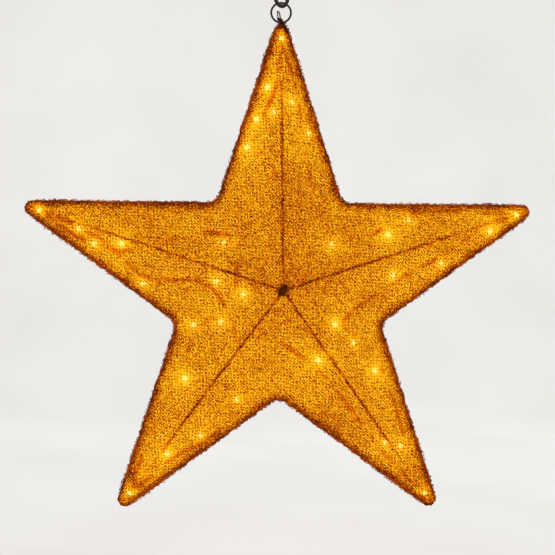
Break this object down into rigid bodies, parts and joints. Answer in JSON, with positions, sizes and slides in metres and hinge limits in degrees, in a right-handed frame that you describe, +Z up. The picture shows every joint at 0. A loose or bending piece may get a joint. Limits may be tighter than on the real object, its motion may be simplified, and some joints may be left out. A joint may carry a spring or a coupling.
{
  "type": "led christmas star",
  "caption": "Hanging light-up star: wire frame under woven cloth, with a light string inside, a wire eye, a ring and an S-hook at the top point.",
  "frame": {"origin": "on the star's middle line, on the underside of the wire at the top of the S-hook's upper bend, where it rests on its nail or branch", "axes": "+Z up, -Y the way the star's front faces, +X to the right seen from the front"},
  "size_m": [0.5776, 0.1672, 0.6354],
  "materials": {
    "hook_steel": "bright zinc, lightly worn",
    "ring_steel": "blackened steel",
    "eye_wire": "dark annealed wire",
    "frame_wire": "bronze lacquered steel wire",
    "cloth": "open woven coarse fibre, lit from inside",
    "knot": "bunched and tied fibre",
    "cable": "thin brown cable with moulded sockets",
    "gland": "dark brown rubber",
    "lens": "clear warm white lens, lit"
  },
  "bodies": {
    "hook": {"s_hook": "hook_steel"},
    "ring": {"hanging_ring": "ring_steel"},
    "star": {"rim_wire": "frame_wire", "front_rib_1": "frame_wire", "front_rib_2": "frame_wire", "front_rib_3": "frame_wire", "front_rib_4": "frame_wire", "front_rib_5": "frame_wire", "back_rib_1": "frame_wire", "back_rib_2": "frame_wire", "back_rib_3": "frame_wire", "back_rib_4": "frame_wire", "back_rib_5": "frame_wire", "front_hub": "frame_wire", "back_hub": "frame_wire", "front_cover": "cloth", "back_cover": "cloth", "front_knot": "knot", "back_knot": "knot", "light_cable": "cable", "led_lens_1": "lens", "led_lens_2": "lens", "led_lens_3": "lens", "led_lens_4": "lens", "led_lens_5": "lens", "led_lens_6": "lens", "led_lens_7": "lens", "led_lens_8": "lens", "led_lens_9": "lens", "led_lens_10": "lens", "led_lens_11": "lens", "led_lens_12": "lens", "led_lens_13": "lens", "led_lens_14": "lens", "led_lens_15": "lens", "led_lens_16": "lens", "led_lens_17": "lens", "led_lens_18": "lens", "led_lens_19": "lens", "led_lens_20": "lens", "led_lens_21": "lens", "led_lens_22": "lens", "led_lens_23": "lens", "led_lens_24": "lens", "led_lens_25": "lens", "led_lens_26": "lens", "led_lens_27": "lens", "led_lens_28": "lens", "led_lens_29": "lens", "led_lens_30": "lens", "led_lens_31": "lens", "led_lens_32": "lens", "led_lens_33": "lens", "led_lens_34": "lens", "led_lens_35": "lens", "led_lens_36": "lens", "cable_gland": "gland", "hanging_eye": "eye_wire", "eye_binding": "knot"}
  },
  "joints": [
    {"name": "ring_swing", "type": "hinge", "parent": "hook", "child": "ring", "pos_m": [0, 0, -0.05825], "axis": [0.6428, 0.766, 0], "range_deg": [-30, 30]},
    {"name": "star_swing", "type": "hinge", "parent": "ring", "child": "star", "pos_m": [0, 0, -0.0771], "axis": [1, 0, 0], "range_deg": [-35, 35]}
  ]
}
